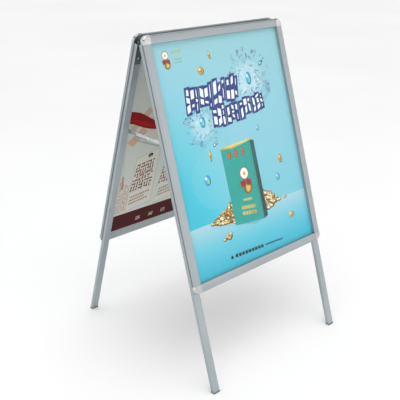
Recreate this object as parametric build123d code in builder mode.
from build123d import *
import os
from math import acos, asin, atan2, cos, degrees, radians, sin

os.makedirs("parts", exist_ok=True)

# A folding A-frame sandwich board. Two equal halves lean on a hinge at the top. Each half is a
# snap-open poster frame on two legs, and two folding stays hold the halves apart.
# Frame: X along the hinge, -Y towards the front half, +Z up, origin on the floor under the hinge.
# Millimetres and degrees.

# --- Driving sizes of one half -------------------------------------------------------------
poster_width = 600.0
poster_height = 800.0
poster_tuck = 10.0          # strip of the poster hidden under each rail
rail_face = 30.0            # visible width of a rail
half_opening = 17.3         # lean of each half from the vertical when the board stands open
leg_length = 1160.0         # hinge axis to sole, along the slope
frame_rise = 16.0           # top edge of the poster frame above the hinge axis, along the slope

# --- Legs and feet ---------------------------------------------------------------------------
leg_width = 26.0
leg_depth = 14.0
leg_wall = 1.5
leg_inset = 3.0             # outer side of a leg behind the outer edge of its frame
leg_gap = 1.8               # inner face of a leg to the plane through the hinge axis
leg_drop = 9.0              # top end of a leg below the hinge axis
leg_corner_radius = 1.4
foot_flange = 4.0
foot_flange_lip = 0.6       # how far the flange stands out round the tube
foot_plug = 24.0
foot_plug_gap = 0.15

# --- Base rail section: u runs inwards from the outer edge, v out of the poster face ----------
web = 1.4
shelf = 34.0                # the web carries the panel past the snap rail
edge_lip = 1.4
edge_lip_height = 5.2
edge_lip_crest = 0.9        # outer edge of the lip above its inner edge, between the caps
bead_u = 4.2
bead_v = 8.2
bead_radius = 1.8
neck = 1.4
neck_u = 7.5
neck_v = 5.0
fence = 1.2
fence_gap = 0.4             # side clearance of the panel stack

# --- Panel stack -------------------------------------------------------------------------------
back_panel = 1.5
poster_sheet = 0.3
cover_sheet = 0.7
stack_top = web + back_panel + poster_sheet + cover_sheet
inner_sheet = 0.3
inner_sheet_gap = 2.0       # edge of the inner sheet to the shelf

# --- Snap rail section ---------------------------------------------------------------------------
snap_skin = 1.3
snap_socket_gap = 0.08
snap_socket_wall = 1.3
snap_edge = 0.8             # outer edge of the snap rail inside the outer edge of the frame
snap_edge_radius = 7.2
snap_edge_v = 7.9           # height at which the rounded edge starts
snap_crown = 0.35
snap_lip_gap = 0.3          # lip over the cover sheet
snap_lip_round = 1.2
snap_end_gap = 0.4          # end of a snap rail to the corner cap
socket_end = 190.0          # the mouth of the socket starts here, as an angle round the bead ...
mouth_step = 40.0           # ... and runs on under it in this many degrees a step
mouth_steps = 4
mouth_reach = 7.5           # how far the cutter of the mouth reaches from the bead

# --- Corners --------------------------------------------------------------------------------------
corner_radius = 22.0
cap_wall = 1.5
cap_top_wall = 1.5
cap_proud = 0.4             # cap above the crown of the snap rails
cap_round = 6.5
cap_step = 4.2              # inset of the upper pocket, inside the rounded edge
cap_step_v = 9.0
key_thickness = 2.5
key_arm = 48.0
key_width = 7.5
key_u = 9.5
post_radius = 2.6

# --- Springs and screws ---------------------------------------------------------------------------
spring_length = 40.0
spring_strip = 0.6
spring_rise = 7.2
spring_u = 13.4
spring_reach = 4.0
screw_shank = 2.0
screw_head = 3.8
screw_head_height = 2.0
screw_grip = 6.0
screw_hole_gap = 0.05
screw_end_distance = 70.0   # first and last leg screw from the ends of the side rail

# --- Hinges ---------------------------------------------------------------------------------------
hinge_leaf = 1.6
hinge_leaf_width = 24.0
hinge_leaf_length = 78.0
hinge_barrel_radius = 4.2
hinge_barrel_gap = 0.3
hinge_pin_radius = 2.0
hinge_running_gap = 0.05
hinge_pin_head = 1.0
hinge_pin_head_radius = 3.2
hinge_knuckles = 5
hinge_screw_rows = (27.0, 58.0)
hinge_screw_radius = 3.4
hinge_screw_shank = 1.8
hinge_screw_length = 7.0

# --- Stays ----------------------------------------------------------------------------------------
stay_drop = 335.0           # hinge axis to the stay pivots, along the slope
stay_width = 12.0
stay_thickness = 2.0
stay_gap = 0.3              # between the two links of a stay
stay_standoff = 2.2         # leg to the front link
stay_rivet_shank = 2.5
stay_rivet_head = 4.6
stay_rivet_head_height = 1.7
stay_running_gap = 0.05
stay_washer = 4.6
stay_rivet_tail = 2.2
stay_rivet_bulge = 0.8

# --- Worked out -----------------------------------------------------------------------------------
frame_width = poster_width - 2 * poster_tuck + 2 * rail_face
frame_height = poster_height - 2 * poster_tuck + 2 * rail_face
lean_sin = sin(radians(half_opening))
lean_cos = cos(radians(half_opening))
hinge_height = leg_length * lean_cos
frame_seat = leg_gap + leg_depth
frame_top = frame_rise
frame_bottom = frame_rise - frame_height
leg_outer = frame_width / 2 - leg_inset
leg_inner = leg_outer - leg_width
leg_mid_depth = leg_gap + leg_depth / 2
snap_face_v = snap_edge_v + snap_edge_radius
snap_lip_v = stack_top + snap_lip_gap
cap_top_v = snap_face_v + snap_crown + cap_proud
stack_edge = rail_face - poster_tuck
fence_u = stack_edge - fence_gap - fence

stay_half_span = stay_drop * lean_sin + leg_mid_depth * lean_cos
stay_height = hinge_height - stay_drop * lean_cos + leg_mid_depth * lean_sin
front_link_near = leg_inner - stay_standoff - stay_thickness
rear_link_near = front_link_near - stay_gap - stay_thickness
fold_range = 2 * half_opening
stay_folded = degrees(acos(leg_mid_depth / stay_half_span)) - half_opening

HALVES = {"front": -1, "rear": 1}
SIDES = {"left": -1, "right": 1}


def half_plane(facing):
    """Local x along the hinge, local y up the slope, local z out of the poster face."""
    outward = (0, facing * lean_cos, lean_sin)
    return Plane(origin=(0, 0, hinge_height), x_dir=(-facing, 0, 0), z_dir=outward)


def local_plane(half, origin, x_dir, z_dir):
    """A plane given in the coordinates of one half."""
    def turned(v):
        return half.x_dir * v[0] + half.y_dir * v[1] + half.z_dir * v[2]

    return Plane(origin=half.origin + turned(origin), x_dir=turned(x_dir), z_dir=turned(z_dir))


def rail_plane(half, side):
    """Section plane at the start of a rail: x inwards (u), y out of the face (v), z along it."""
    right = frame_width / 2
    starts = {
        "left": ((-right, frame_top), (1, 0, 0), (0, -1, 0)),
        "top": ((right, frame_top), (0, -1, 0), (-1, 0, 0)),
        "right": ((right, frame_bottom), (-1, 0, 0), (0, 1, 0)),
        "bottom": ((-right, frame_bottom), (0, 1, 0), (1, 0, 0)),
    }
    corner, inwards, along = starts[side]
    return local_plane(half, (corner[0], corner[1], frame_seat), inwards, along)


def plan_plane(rail, height=0.0):
    """Plan of a rail: x along it, y inwards, z out of the face, at a height v."""
    return Plane(origin=rail.origin + rail.y_dir * height, x_dir=rail.z_dir, z_dir=rail.y_dir)


def rail_length(side):
    return frame_height if side in ("left", "right") else frame_width


def slope_plane(half, x):
    """Across the hinge axis at local x: x down the slope (s), y out of the face (t)."""
    return local_plane(half, (x, 0, 0), (0, -1, 0), (-1, 0, 0))


def slab(half, hand, near, far):
    """Plane and depth of a layer between two distances from the middle of the board."""
    x = hand * far if hand > 0 else hand * near
    return slope_plane(half, x), far - near


def turning_plane(half, hand, drop, depth):
    """Plane through a cross pin on a leg: x is its radius, y runs inboard from the leg."""
    return local_plane(half, (hand * leg_inner, -drop, depth), (0, -1, 0), (0, 0, -hand))


def polar(centre_u, centre_v, radius, angle):
    return (centre_u + radius * cos(radians(angle)), centre_v + radius * sin(radians(angle)))


def dome_middle(radius, height):
    """Point half way along a spherical dome's profile, from its rim at (radius, 0)."""
    sphere = (radius ** 2 + height ** 2) / (2 * height)
    half_angle = asin(radius / sphere) / 2
    return sphere * sin(half_angle), height - sphere * (1 - cos(half_angle))


def finish(part, name):
    part.label = name
    export_step(part, f"parts/{name}.step")


# --- Frame rails ----------------------------------------------------------------------------------
def base_rail(half, side, name, screw_places):
    """Fixed extrusion: mitred web with an outer lip, and the bead that the snap rail turns on."""
    section = rail_plane(half, side)
    length = rail_length(side)
    bead_run = length - 2 * rail_face
    with BuildPart() as rail:
        with BuildSketch(plan_plane(section)):
            with BuildLine():
                Polyline((0, 0), (length, 0), (length - shelf, shelf), (shelf, shelf), close=True)
            make_face()
            with Locations((length / 2, 2 * shelf)):
                RectangleRounded(length, 4 * shelf, corner_radius, mode=Mode.INTERSECT)
        extrude(amount=web)
        with BuildSketch(plan_plane(section, web)):
            with BuildLine():
                Polyline((0, 0), (length, 0), (length - shelf, shelf), (shelf, shelf), close=True)
            make_face()
            with Locations((length / 2, 2 * shelf)):
                RectangleRounded(length, 4 * shelf, corner_radius, mode=Mode.INTERSECT)
                RectangleRounded(
                    length - 2 * edge_lip,
                    4 * shelf - 2 * edge_lip,
                    corner_radius - edge_lip,
                    mode=Mode.SUBTRACT,
                )
        extrude(amount=edge_lip_height - web)
        with BuildSketch(section.offset(rail_face)):
            with BuildLine():
                Polyline(
                    (neck_u - neck / 2, 0),
                    (neck_u + neck / 2, 0),
                    (neck_u + neck / 2, neck_v),
                    (bead_u + neck / 2, bead_v),
                    (bead_u - neck / 2, bead_v - neck / 2),
                    (neck_u - neck / 2, neck_v - neck / 2),
                    close=True,
                )
            make_face()
            with Locations((bead_u, bead_v)):
                Circle(bead_radius)
            with Locations((fence_u + fence / 2, stack_top / 2)):
                Rectangle(fence, stack_top)
        extrude(amount=bead_run)
        with BuildSketch(section.offset(rail_face)):
            with BuildLine():
                Polyline(
                    (0, edge_lip_height),
                    (edge_lip, edge_lip_height),
                    (0, edge_lip_height + edge_lip_crest),
                    close=True,
                )
            make_face()
        extrude(amount=bead_run)
        if screw_places:
            with BuildSketch(plan_plane(section)):
                with Locations(*[(place, spring_u) for place in screw_places]):
                    Circle(screw_shank + screw_hole_gap)
            extrude(amount=web, mode=Mode.SUBTRACT)
    finish(rail.part, name)


def snap_rail(half, side, name):
    """Flip-open cover: rounded outer edge, crowned face, lip on the poster, socket on the bead."""
    section = rail_plane(half, side)
    start = rail_face + snap_end_gap
    edge_u = snap_edge + snap_edge_radius
    inner_radius = snap_edge_radius - snap_skin
    middle_u = (edge_u + rail_face) / 2
    with BuildPart() as rail:
        with BuildSketch(section.offset(start)) as profile:
            with BuildLine():
                ThreePointArc(
                    (snap_edge, snap_edge_v),
                    polar(edge_u, snap_edge_v, snap_edge_radius, 135),
                    (edge_u, snap_face_v),
                )
                ThreePointArc(
                    (edge_u, snap_face_v),
                    (middle_u, snap_face_v + snap_crown),
                    (rail_face, snap_face_v),
                )
                Polyline(
                    (rail_face, snap_face_v),
                    (rail_face, snap_lip_v),
                    (rail_face - snap_skin, snap_lip_v),
                    (rail_face - snap_skin, snap_face_v - snap_skin),
                )
                ThreePointArc(
                    (rail_face - snap_skin, snap_face_v - snap_skin),
                    (middle_u, snap_face_v + snap_crown - snap_skin),
                    (edge_u, snap_face_v - snap_skin),
                )
                ThreePointArc(
                    (edge_u, snap_face_v - snap_skin),
                    polar(edge_u, snap_edge_v, inner_radius, 135),
                    (snap_edge + snap_skin, snap_edge_v),
                )
                Line((snap_edge + snap_skin, snap_edge_v), (snap_edge, snap_edge_v))
            make_face()
            lip_corner = profile.vertices().sort_by(Axis((0, 0, 0), (1, 1, 0)))[-1]
            fillet(lip_corner, snap_lip_round)
            with Locations((bead_u, bead_v)):
                Circle(bead_radius + snap_socket_gap + snap_socket_wall)
                Circle(bead_radius + snap_socket_gap, mode=Mode.SUBTRACT)
            with BuildLine():
                mouth = [
                    polar(bead_u, bead_v, mouth_reach, socket_end + k * mouth_step)
                    for k in range(mouth_steps + 1)
                ]
                Polyline((bead_u, bead_v), *mouth, close=True)
            make_face(mode=Mode.SUBTRACT)
        extrude(amount=rail_length(side) - 2 * start)
    finish(rail.part, name)


# --- Corners --------------------------------------------------------------------------------------
def corner_cap(half, side, name):
    """Plated shell over the corner at the start of a rail, with a post down to the corner key."""
    section = rail_plane(half, side)
    with BuildPart() as cap:
        with BuildSketch(plan_plane(section, edge_lip_height)) as outline:
            Rectangle(rail_face, rail_face, align=(Align.MIN, Align.MIN))
            fillet(outline.vertices().sort_by(Axis((0, 0, 0), (1, 1, 0)))[0], corner_radius)
        extrude(amount=cap_top_v - edge_lip_height)
        top = cap.faces().filter_by(Plane(section.origin, z_dir=section.y_dir)).sort_by(
            Axis(section.origin, section.y_dir))[-1]
        outer_rims = [
            edge for edge in top.edges()
            if edge.geom_type == GeomType.CIRCLE
            or abs((edge.center() - section.origin).dot(section.z_dir)) < cap_wall
            or abs((edge.center() - section.origin).dot(section.x_dir)) < cap_wall
        ]
        fillet(outer_rims, cap_round)
        with BuildSketch(plan_plane(section, edge_lip_height)) as pocket:
            with Locations((cap_wall, cap_wall)):
                Rectangle(rail_face, rail_face, align=(Align.MIN, Align.MIN))
            fillet(pocket.vertices().sort_by(Axis((0, 0, 0), (1, 1, 0)))[0], corner_radius - cap_wall)
        extrude(amount=cap_step_v - edge_lip_height, mode=Mode.SUBTRACT)
        with BuildSketch(plan_plane(section, cap_step_v)) as upper_pocket:
            with Locations((cap_step, cap_step)):
                Rectangle(rail_face, rail_face, align=(Align.MIN, Align.MIN))
            fillet(
                upper_pocket.vertices().sort_by(Axis((0, 0, 0), (1, 1, 0)))[0],
                corner_radius - cap_step,
            )
        extrude(amount=cap_top_v - cap_top_wall - cap_step_v, mode=Mode.SUBTRACT)
        post_place = key_u + key_width / 2
        with BuildSketch(plan_plane(section, web + key_thickness)):
            with Locations((post_place, post_place)):
                Circle(post_radius)
        extrude(amount=cap_top_v - cap_top_wall - web - key_thickness)
    finish(cap.part, name)


def corner_keys(half, name):
    """Four L-shaped keys that tie the mitred base rails together, one under each cap."""
    with BuildPart() as keys:
        for side in ("left", "top", "right", "bottom"):
            with BuildSketch(plan_plane(rail_plane(half, side), web)):
                with Locations((key_u, key_u)):
                    Rectangle(key_arm, key_width, align=(Align.MIN, Align.MIN))
                    Rectangle(key_width, key_arm, align=(Align.MIN, Align.MIN))
            extrude(amount=key_thickness)
    finish(keys.part, name)


# --- Panels ---------------------------------------------------------------------------------------
def flat_sheet(half, width, height, level, thickness, name):
    """A sheet centred in the frame, its inner side at a height above the frame seat."""
    middle = (0, (frame_top + frame_bottom) / 2, frame_seat + level)
    with BuildPart() as sheet:
        with BuildSketch(local_plane(half, middle, (1, 0, 0), (0, 0, 1))):
            Rectangle(width, height)
        extrude(amount=thickness)
    finish(sheet.part, name)


# --- Springs and screws ---------------------------------------------------------------------------
def snap_springs(half, name):
    """Two arched leaf springs under every snap rail."""
    with BuildPart() as springs:
        for side in ("left", "top", "right", "bottom"):
            for quarter in (0.25, 0.75):
                start = quarter * rail_length(side) - spring_length / 2
                with BuildSketch(rail_plane(half, side).offset(start)):
                    with BuildLine():
                        ThreePointArc(
                            (spring_u - spring_reach, web),
                            (spring_u, web + spring_rise),
                            (spring_u + spring_reach, web),
                        )
                        Line((spring_u + spring_reach, web), (spring_u + spring_reach - spring_strip, web))
                        ThreePointArc(
                            (spring_u + spring_reach - spring_strip, web),
                            (spring_u, web + spring_rise - spring_strip),
                            (spring_u - spring_reach + spring_strip, web),
                        )
                        Line((spring_u - spring_reach + spring_strip, web), (spring_u - spring_reach, web))
                    make_face()
                extrude(amount=spring_length)
    finish(springs.part, name)


def leg_screw_places():
    """Distances along a side rail at which it is screwed to the leg behind it."""
    return (screw_end_distance, frame_height / 2, frame_height - screw_end_distance)


def leg_screws(half, name):
    """Pan-head screws through the side rails into the legs."""
    with BuildPart() as screws:
        for side in ("left", "right"):
            section = rail_plane(half, side)
            for place in leg_screw_places():
                with BuildSketch(plan_plane(section, web)):
                    with Locations((place, spring_u)):
                        Circle(screw_head)
                extrude(amount=screw_head_height)
                with BuildSketch(plan_plane(section, web - screw_grip)):
                    with Locations((place, spring_u)):
                        Circle(screw_shank)
                extrude(amount=screw_grip)
    finish(screws.part, name)


# --- Legs and feet --------------------------------------------------------------------------------
def leg(half, hand, name):
    """Rectangular tube, cut level with the floor above the foot flange."""
    middle = hand * (leg_inner + leg_outer) / 2
    top = local_plane(half, (middle, -leg_drop, leg_mid_depth), (1, 0, 0), (0, -1, 0))
    screw_x = hand * (frame_width / 2 - spring_u)
    with BuildPart() as tube:
        with BuildSketch(top):
            RectangleRounded(leg_width, leg_depth, leg_corner_radius)
            Rectangle(leg_width - 2 * leg_wall, leg_depth - 2 * leg_wall, mode=Mode.SUBTRACT)
        extrude(amount=leg_length)
        split(bisect_by=Plane.XY.offset(foot_flange), keep=Keep.TOP)
        with BuildSketch(local_plane(half, (0, 0, frame_seat), (1, 0, 0), (0, 0, -1))):
            with Locations(*[(screw_x, -(frame_top - place)) for place in leg_screw_places()]):
                Circle(screw_shank + screw_hole_gap)
        extrude(amount=leg_wall, mode=Mode.SUBTRACT)
        with BuildSketch(local_plane(half, (0, 0, leg_gap), (1, 0, 0), (0, 0, 1))):
            with Locations(*[(middle, -row) for row in hinge_screw_rows]):
                Circle(hinge_screw_shank + screw_hole_gap)
        extrude(amount=leg_wall, mode=Mode.SUBTRACT)
        wall, depth = slab(half, hand, leg_inner, leg_inner + leg_wall)
        with BuildSketch(wall):
            with Locations((stay_drop, leg_mid_depth)):
                Circle(stay_rivet_shank + stay_running_gap)
        extrude(amount=depth, mode=Mode.SUBTRACT)
    finish(tube.part, name)


def feet(facing, name):
    """Moulded plugs in the ends of two legs, each with a flange whose sole is flat on the floor."""
    y = facing * (hinge_height * lean_sin / lean_cos + leg_mid_depth / lean_cos)
    flange_y = y - facing * foot_flange * lean_sin / lean_cos
    uphill = Vector(0, -facing * lean_sin, lean_cos)
    plug_width = leg_width - 2 * leg_wall - 2 * foot_plug_gap
    plug_depth = (leg_depth - 2 * leg_wall - 2 * foot_plug_gap) / lean_cos
    with BuildPart() as plugs:
        for side_sign in SIDES.values():
            x = side_sign * (leg_inner + leg_outer) / 2
            with BuildSketch(Plane.XY) as sole:
                with Locations((x, y)):
                    Rectangle(leg_width + 2 * foot_flange_lip, leg_depth / lean_cos + 2 * foot_flange_lip)
            extrude(sole.sketch, amount=foot_flange / lean_cos, dir=uphill)
            with BuildSketch(Plane.XY.offset(foot_flange)) as plug:
                with Locations((x, flange_y)):
                    Rectangle(plug_width, plug_depth)
            extrude(plug.sketch, amount=foot_plug, dir=uphill)
    finish(plugs.part, name)


# --- Hinges ---------------------------------------------------------------------------------------
def hinge_leaf_part(half, hand, knuckles, name):
    """Leaf on the inner face of a leg, with its knuckles round the hinge axis."""
    middle = hand * (leg_inner + leg_outer) / 2
    barrel = local_plane(half, (0, 0, 0), (0, -1, 0), (-1, 0, 0))
    leaf_top = hinge_barrel_radius + hinge_barrel_gap + hinge_leaf / 2
    with BuildPart() as leaf:
        face = local_plane(half, (middle, 0, leg_gap), (1, 0, 0), (0, 0, -1))
        with BuildSketch(face):
            with Locations((0, (leaf_top + hinge_leaf_length) / 2)):
                Rectangle(hinge_leaf_width, hinge_leaf_length - leaf_top)
        extrude(amount=hinge_leaf)
        for start, end in knuckles:
            with BuildSketch(barrel.offset(-(middle + end))):
                Circle(hinge_barrel_radius)
                with Locations((0, leg_gap - hinge_leaf)):
                    Rectangle(leaf_top, hinge_leaf, align=(Align.MIN, Align.MIN))
            extrude(amount=end - start)
        with BuildSketch(barrel.offset(-(middle + hinge_leaf_width / 2))):
            Circle(hinge_pin_radius + hinge_running_gap)
        extrude(amount=hinge_leaf_width, mode=Mode.SUBTRACT)
        for row in hinge_screw_rows:
            with BuildSketch(face.offset(hinge_leaf)):
                with Locations((0, row)):
                    Circle(hinge_screw_radius)
            with BuildSketch(face):
                with Locations((0, row)):
                    Circle(hinge_screw_shank + screw_hole_gap)
            loft(mode=Mode.SUBTRACT)
    finish(leaf.part, name)


def knuckle_spans(outer_pair):
    """Five knuckles share the leaf's width: three on one leaf, two on the other."""
    pitch = hinge_leaf_width / hinge_knuckles
    gap = hinge_barrel_gap / 2
    numbers = (0, 2, 4) if outer_pair else (1, 3)
    return [(k * pitch - hinge_leaf_width / 2 + gap, (k + 1) * pitch - hinge_leaf_width / 2 - gap)
            for k in numbers]


def hinge_pins(name):
    """One pin through each pair of leaves, with a small head at both ends."""
    middle = (leg_inner + leg_outer) / 2
    run = hinge_leaf_width / 2
    with BuildPart() as pins:
        for side_sign in SIDES.values():
            centre = Plane(origin=(side_sign * middle, 0, hinge_height), z_dir=(1, 0, 0))
            with BuildSketch(centre.offset(-run - hinge_pin_head)):
                Circle(hinge_pin_radius)
            extrude(amount=2 * (run + hinge_pin_head))
            for end in (-run - hinge_pin_head, run):
                with BuildSketch(centre.offset(end)):
                    Circle(hinge_pin_head_radius)
                extrude(amount=hinge_pin_head)
    finish(pins.part, name)


def hinge_screws(half, name):
    """Countersunk screws, flush with the leaves so that the halves can close face to face."""
    with BuildPart() as screws:
        for hand in SIDES.values():
            middle = hand * (leg_inner + leg_outer) / 2
            face = local_plane(half, (middle, 0, leg_gap), (1, 0, 0), (0, 0, -1))
            for row in hinge_screw_rows:
                with BuildSketch(face.offset(hinge_leaf)):
                    with Locations((0, row)):
                        Circle(hinge_screw_radius - screw_hole_gap)
                with BuildSketch(face):
                    with Locations((0, row)):
                        Circle(hinge_screw_shank)
                loft()
                with BuildSketch(face.offset(-hinge_screw_length)):
                    with Locations((0, row)):
                        Circle(hinge_screw_shank)
                extrude(amount=hinge_screw_length)
    finish(screws.part, name)


# --- Stays ----------------------------------------------------------------------------------------
def stay_link(half, hand, near, name):
    """Flat bar from a leg pivot to the middle of the board, level when the board stands open."""
    plane, depth = slab(half, hand, near, near + stay_thickness)
    end_s = stay_drop - lean_sin * stay_half_span
    end_t = leg_mid_depth - lean_cos * stay_half_span
    angle = degrees(atan2(end_t - leg_mid_depth, end_s - stay_drop))
    with BuildPart() as link:
        with BuildSketch(plane):
            with Locations(Location(((stay_drop + end_s) / 2, (leg_mid_depth + end_t) / 2), angle)):
                SlotCenterToCenter(stay_half_span, stay_width)
            with Locations((stay_drop, leg_mid_depth)):
                Circle(stay_rivet_shank + stay_running_gap, mode=Mode.SUBTRACT)
            with Locations((end_s, end_t)):
                Circle(stay_rivet_shank, mode=Mode.SUBTRACT)
        extrude(amount=depth)
    finish(link.part, name)


def leg_pivot_rivets(half, seat, name):
    """Shouldered blind rivets that carry the stay links on the inboard sides of two legs."""
    grip = seat + stay_thickness + stay_running_gap
    tail = stay_rivet_shank + stay_rivet_bulge
    tail_end = -leg_wall - stay_rivet_tail
    dome_r, dome_h = dome_middle(stay_rivet_head, stay_rivet_head_height)
    with BuildPart() as rivets:
        for hand in SIDES.values():
            plane = turning_plane(half, hand, stay_drop, leg_mid_depth)
            with BuildSketch(plane):
                with BuildLine():
                    Polyline(
                        (0, tail_end),
                        (tail, tail_end),
                        (tail, -leg_wall),
                        (stay_rivet_shank, -leg_wall),
                        (stay_rivet_shank, 0),
                        (stay_washer, 0),
                        (stay_washer, seat - stay_running_gap),
                        (stay_rivet_shank, seat - stay_running_gap),
                        (stay_rivet_shank, grip),
                        (stay_rivet_head, grip),
                    )
                    ThreePointArc(
                        (stay_rivet_head, grip),
                        (dome_r, grip + dome_h),
                        (0, grip + stay_rivet_head_height),
                    )
                    Line((0, grip + stay_rivet_head_height), (0, tail_end))
                make_face()
            revolve(axis=Axis(plane.origin, plane.y_dir))
    finish(rivets.part, name)


def centre_rivet(side_sign, name):
    """Rivet of the middle pivot: its head and shank sit in the front link."""
    head = stay_standoff - stay_rivet_head_height
    plane = Plane(
        origin=(side_sign * (leg_inner - head), 0, stay_height),
        x_dir=(0, 1, 0),
        z_dir=(0, 0, side_sign),
    )
    dome_r, dome_h = dome_middle(stay_rivet_head, stay_rivet_head_height)
    with BuildPart() as rivet:
        with BuildSketch(plane):
            with BuildLine():
                ThreePointArc(
                    (0, 0),
                    (dome_r, stay_rivet_head_height - dome_h),
                    (stay_rivet_head, stay_rivet_head_height),
                )
                Polyline(
                    (stay_rivet_head, stay_rivet_head_height),
                    (stay_rivet_shank, stay_rivet_head_height),
                    (stay_rivet_shank, stay_rivet_head_height + stay_thickness),
                    (0, stay_rivet_head_height + stay_thickness),
                    (0, 0),
                )
            make_face()
        revolve(axis=Axis(plane.origin, plane.y_dir))
    finish(rivet.part, name)


def centre_washer(side_sign, name):
    """Closed end of the middle pivot, on the inboard side of the rear link."""
    plane = Plane(
        origin=(side_sign * rear_link_near, 0, stay_height),
        x_dir=(0, 1, 0),
        z_dir=(0, 0, side_sign),
    )
    dome_r, dome_h = dome_middle(stay_rivet_head, stay_rivet_head_height)
    with BuildPart() as washer:
        with BuildSketch(plane):
            with BuildLine():
                Polyline(
                    (0, -stay_thickness),
                    (stay_rivet_shank, -stay_thickness),
                    (stay_rivet_shank, 0),
                    (stay_rivet_head, 0),
                )
                ThreePointArc(
                    (stay_rivet_head, 0),
                    (dome_r, dome_h),
                    (0, stay_rivet_head_height),
                )
                Line((0, stay_rivet_head_height), (0, -stay_thickness))
            make_face()
        revolve(axis=Axis(plane.origin, plane.y_dir))
    finish(washer.part, name)


# --- Build both halves ----------------------------------------------------------------------------
for half_name, facing in HALVES.items():
    half = half_plane(facing)
    # Seen from its own poster side the rear half has left and right swapped.
    own_side = {"left": "left", "right": "right"} if facing < 0 else {"left": "right", "right": "left"}
    own_side.update(top="top", bottom="bottom")

    for side in ("left", "top", "right", "bottom"):
        places = leg_screw_places() if side in ("left", "right") else ()
        base_rail(half, own_side[side], f"{half_name}_base_rail_{side}", places)
        snap_rail(half, own_side[side], f"{half_name}_snap_rail_{side}")

    starts = {"left": "top_left", "top": "top_right", "right": "bottom_right", "bottom": "bottom_left"}
    swap = {"top_left": "top_right", "top_right": "top_left",
            "bottom_left": "bottom_right", "bottom_right": "bottom_left"}
    for side, corner in starts.items():
        place = corner if facing < 0 else swap[corner]
        corner_cap(half, side, f"{half_name}_corner_cap_{place}")

    corner_keys(half, f"{half_name}_corner_keys")
    snap_springs(half, f"{half_name}_snap_springs")
    leg_screws(half, f"{half_name}_leg_screws")
    flat_sheet(half, poster_width, poster_height, web, back_panel, f"{half_name}_back_panel")
    flat_sheet(half, poster_width, poster_height, web + back_panel, poster_sheet, f"{half_name}_poster")
    flat_sheet(half, poster_width, poster_height, web + back_panel + poster_sheet, cover_sheet,
               f"{half_name}_cover_sheet")

    for side, side_sign in SIDES.items():
        hand = -facing * side_sign
        leg(half, hand, f"{half_name}_leg_{side}")
        hinge_leaf_part(half, hand, knuckle_spans(facing < 0), f"{half_name}_hinge_leaf_{side}")
        near = front_link_near if facing < 0 else rear_link_near
        stay_link(half, hand, near, f"stay_{half_name}_link_{side}")

    feet(facing, f"{half_name}_feet")
    hinge_screws(half, f"{half_name}_hinge_screws")
    seat = leg_inner - stay_thickness - (front_link_near if facing < 0 else rear_link_near)
    leg_pivot_rivets(half, seat, f"{half_name}_stay_rivets")

flat_sheet(
    half_plane(HALVES["rear"]),
    frame_width - 2 * shelf - 2 * inner_sheet_gap,
    frame_height - 2 * shelf - 2 * inner_sheet_gap,
    web - inner_sheet,
    inner_sheet,
    "rear_inner_sheet",
)
hinge_pins("hinge_pins")
for side, side_sign in SIDES.items():
    centre_rivet(side_sign, f"stay_centre_rivet_{side}")
    centre_washer(side_sign, f"stay_centre_washer_{side}")

print("hinge axis height", round(hinge_height, 3))
print("fold range", round(fold_range, 3), "stay link range", round(stay_folded, 3))
print("stay pivots y", round(stay_half_span, 3), "z", round(stay_height, 3))
